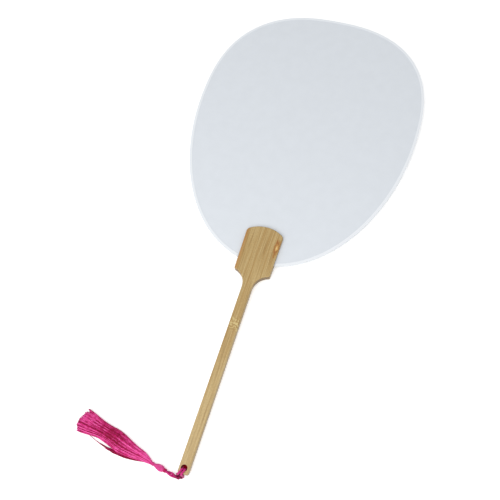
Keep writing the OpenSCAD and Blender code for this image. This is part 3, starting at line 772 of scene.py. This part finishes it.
def paper(name, colour, cloud):
    """Paper of a colour, with clouds that are darker by the share given, and a fine tooth."""
    material, tree, shader = new_finish(name, Roughness=0.62, IOR=1.45)
    point = in_millimetres(tree)
    clouds = add(tree, "TexNoise", {"Vector": point, "Scale": CLOUDS_PER_MM, "Detail": 4.0})[0]
    darker = add(tree, "MapRange", {0: clouds, 1: 0.35, 2: 0.65, 3: 1.0 - cloud, 4: 1.0})[0]
    tint = add(tree, "VectorMath", {0: linear(colour)[:3], "Scale": darker}, operation="SCALE")[0]
    tooth = add(tree, "TexNoise", {"Vector": point, "Scale": TEETH_PER_MM, "Detail": 3.0})[0]
    bump = add(tree, "Bump", {"Height": tooth, "Strength": 0.2, "Distance": 0.00002})[0]
    tree.links.new(tint, shader.inputs["Base Color"])
    tree.links.new(bump, shader.inputs["Normal"])
    return material


face_paper = paper("smooth_white_paper", "#D9DEE4", 0.02)
paint(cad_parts["front_sheet"], face_paper)
paint(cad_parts["back_sheet"], face_paper)
paint(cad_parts["leaf_core"], paper("grey_board", "#CFCDC8", 0.05))
paint(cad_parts["edge_binding"], paper("white_paper_tape", "#E7EBEF", 0.01))
print("clouds", round(1 / CLOUDS_PER_MM), "mm and tooth", round(1 / TEETH_PER_MM, 1), "mm across")

# %% [markdown]
# Cord and tassel are viscose rayon, dyed magenta. It is smooth and shiny, so a thread shows a bright
# line where it faces the light, and its highlight is tinted by the dye. No two threads took the dye
# alike. In the skirt the shade kept on the mesh sets each thread's colour, and a noise along the
# thread varies it. Besides the dye's differences, that shade holds painted shade and painted light.
# The cord, the head and the ties get theirs from a noise in the UV map's terms, and the cord has a
# painted shade at the bottom of its hitch.

# %% Rayon
STREAKS_PER_M = 220.0
PLY_STREAKS_PER_M = 350.0
STREAK_SHIFT = 14.0
HITCH_SHADE_FROM, HITCH_SHADE_TO = 5.5, 1.5


def rayon(name, dark, middle, bright, lines=None, shade_painted_at=None):
    """Dyed rayon in three shades. lines is how many streaks there are round a strand. Without it
    each thread has the shade that its mesh keeps, and the noise adds twice its value less 1 to it.
    shade_painted_at is a place in millimetres from the rod's end, round which a painted shade makes
    the rayon nearly black."""
    material, tree, shader = new_finish(name, Roughness=0.34, IOR=1.53, Specular_IOR_Level=0.35)
    shader.inputs["Specular Tint"].default_value = linear("#FFB8D8")
    along = add(tree, "UVMap", uv_map="along")[0]
    if lines:
        scale = (lines, PLY_STREAKS_PER_M, 0.0)
        place_on = add(tree, "VectorMath", {0: along, 1: scale}, operation="MULTIPLY")[0]
        pick = add(tree, "TexNoise", {"Vector": place_on, "Scale": 1.0, "Detail": 2.0})[0]
    else:
        own = add(tree, "Attribute", attribute_name="shade")["Fac"]
        down = add(tree, "VectorMath", {0: along, 1: (0.0, STREAKS_PER_M, 0.0)}, operation="MULTIPLY")[0]
        shift = add(tree, "Math", {0: own, 1: STREAK_SHIFT}, operation="MULTIPLY")[0]
        aside = add(tree, "CombineXYZ", {0: shift})[0]
        place_on = add(tree, "VectorMath", {0: down, 1: aside}, operation="ADD")[0]
        uneven = add(tree, "TexNoise", {"Vector": place_on, "Scale": 1.0, "Detail": 2.0})[0]
        less = add(tree, "Math", {0: own, 1: 1.0}, operation="SUBTRACT")[0]
        pick = add(tree, "Math", {0: uneven, 1: 2.0, 2: less}, operation="MULTIPLY_ADD")[0]
    shade = add(tree, "ValToRGB", {0: pick}, stops=[(0.12, dark), (0.5, middle), (0.88, bright)])[0]
    # Painted shade: near the bottom of the hitch the cord is mixed towards near black.
    if shade_painted_at:
        from_there = add(tree, "VectorMath", {0: in_millimetres(tree), 1: shade_painted_at},
                         operation="DISTANCE")["Value"]
        painted_hitch_shade = add(tree, "MapRange", {0: from_there, 1: HITCH_SHADE_FROM, 2: HITCH_SHADE_TO, 3: 0.0, 4: 0.7},
                       interpolation_type="SMOOTHSTEP")[0]
        shade = add(tree, "Mix", {0: painted_hitch_shade, 6: shade, 7: linear("#64001A")}, data_type="RGBA")[2]
    tree.links.new(shade, shader.inputs["Base Color"])
    return material


print("streaks", round(1000 / STREAKS_PER_M, 1), "mm long in the floss")

# %% [markdown]
# The loose floss shows the widest range, from deep crimson to bright pink. Drawn in over the head it
# is paler and more even. The cord is a little darker than the floss. The bottom of the hitch is nearly
# black in the photograph, so a painted shade is put there. The tie where the cord goes in is crimson,
# and the one under the neck is pink.

# %% The dyed pieces
floss = rayon("magenta_rayon_floss", "#900432", "#C81C70", "#F464B2")
drawn_floss = rayon("drawn_in_rayon_floss", "#B41A60", "#D2448C", "#EE7CBA", lines=26.0)
# The bottom of the hitch gets a painted shade.
cord_rayon = rayon("twisted_rayon_cord", "#86083A", "#BC1E70", "#E23E98", lines=7.0,
                   shade_painted_at=(-2.4, -3.4, -1.5))
crimson_thread = rayon("crimson_tying_thread", "#8E0E3C", "#B01A56", "#D43478", lines=3.0)
pink_thread = rayon("pink_tying_thread", "#B41A5C", "#D4408A", "#F070B0", lines=3.0)
for piece in (skirt, bow):
    paint(piece, floss)
paint(tassel_head, drawn_floss)
for piece in (cord_hitch, hang_cord):
    paint(piece, cord_rayon)
paint(top_tie, crimson_thread)
paint(neck_tie, pink_thread)
print(len(bpy.data.materials), "materials so far")

# %% [markdown]
# The fan lies on a white table. The photograph's white is brighter than any table's, so the table
# glows a little for the camera alone, and it keeps the fan's shadow. That white was cut out round the
# fan but not inside the hang hole, which is dark crimson there. So where the camera looks through the
# hole, a painted shadow lies on the table: a dark crimson spot. For the camera it glows faintly
# crimson, a painted red light from the cord, with less white glow round it.

# %% The table
FAN_BOTTOM = -5.3
TABLE_HALF = 3
PAINTED_SHADOW_AT = (-1.0, 5.3, FAN_BOTTOM)
PAINTED_SHADOW_R, PAINTED_SHADOW_EDGE = 1.7, 2.0
GLOW_BY_PAINTED_SHADOW, GLOW = 0.26, 0.34
WHITE = (1, 1, 1, 1)
flat = np.array([[-1, -1, 0], [1, -1, 0], [1, 1, 0], [-1, 1, 0]])
corners = flat * TABLE_HALF + [0, 0, FAN_BOTTOM * MM]
table_mesh = bpy.data.meshes.new("table")
table_mesh.from_pydata(corners.tolist(), [], [(0, 1, 2, 3)])
table = bpy.data.objects.new("table", table_mesh)
bpy.context.scene.collection.objects.link(table)
white_table, tree, shader = new_finish("white_table", Roughness=0.9, Specular_IOR_Level=0.0)
# Painted shadow: a dark crimson spot under the hang hole, with a painted crimson glow.
from_painted_shadow = add(tree, "VectorMath", {0: in_millimetres(tree), 1: PAINTED_SHADOW_AT}, operation="DISTANCE")["Value"]
in_painted_shadow = add(tree, "MapRange", {0: from_painted_shadow, 1: PAINTED_SHADOW_EDGE, 2: PAINTED_SHADOW_R, 3: 0.0, 4: 1.0})[0]
top = add(tree, "Mix", {0: in_painted_shadow, 6: (0.97, 0.97, 0.97, 1), 7: linear("#6E0A16")}, data_type="RGBA")[2]
tree.links.new(top, shader.inputs["Base Color"])
glow_and_painted_red_light = add(tree, "Mix", {0: in_painted_shadow, 6: WHITE, 7: linear("#A3001C")}, data_type="RGBA")[2]
tree.links.new(glow_and_painted_red_light, shader.inputs["Emission Color"])
open_glow = add(tree, "MapRange", {0: from_painted_shadow, 1: PAINTED_SHADOW_EDGE, 2: 5.0, 3: GLOW_BY_PAINTED_SHADOW, 4: GLOW})[0]
seen = add(tree, "LightPath")["Is Camera Ray"]
glow = add(tree, "Math", {0: seen, 1: open_glow}, operation="MULTIPLY")[0]
tree.links.new(glow, shader.inputs["Emission Strength"])
paint(table, white_table)
print("the table lies at", FAN_BOTTOM, "mm")

# %% [markdown]
# Most of the light comes evenly from all round, so that a colour renders about as it is written. The
# camera sees the room as pure white, which lights nothing. One large soft lamp stands beyond the end
# of the handle. It makes the leaf a little darker towards its crown and lays a faint shadow on the
# table.

# %% The light
AROUND = 0.74
LAMP_WATTS = 3.4
LAMP_SIZE = 0.7
LAMP_AT = Vector((-0.12, -0.5, 0.6))
world = bpy.data.worlds.new("white_room")
world.use_nodes = True
bpy.context.scene.world = world
tree = world.node_tree
seen = add(tree, "LightPath")["Is Camera Ray"]
strength = add(tree, "MapRange", {0: seen, 1: 0.0, 2: 1.0, 3: AROUND, 4: 1.0})[0]
room = add(tree, "Background", {0: WHITE, 1: strength})[0]
tree.links.new(room, tree.nodes["World Output"].inputs["Surface"])

lamp = bpy.data.objects.new("soft_lamp", bpy.data.lights.new("soft_lamp", "AREA"))
lamp.data.energy = LAMP_WATTS
lamp.data.size = LAMP_SIZE
lamp.matrix_world = aim(LAMP_AT, Vector(), 0)
bpy.context.scene.collection.objects.link(lamp)
print("lamp", round(LAMP_AT.length, 2), "m away")
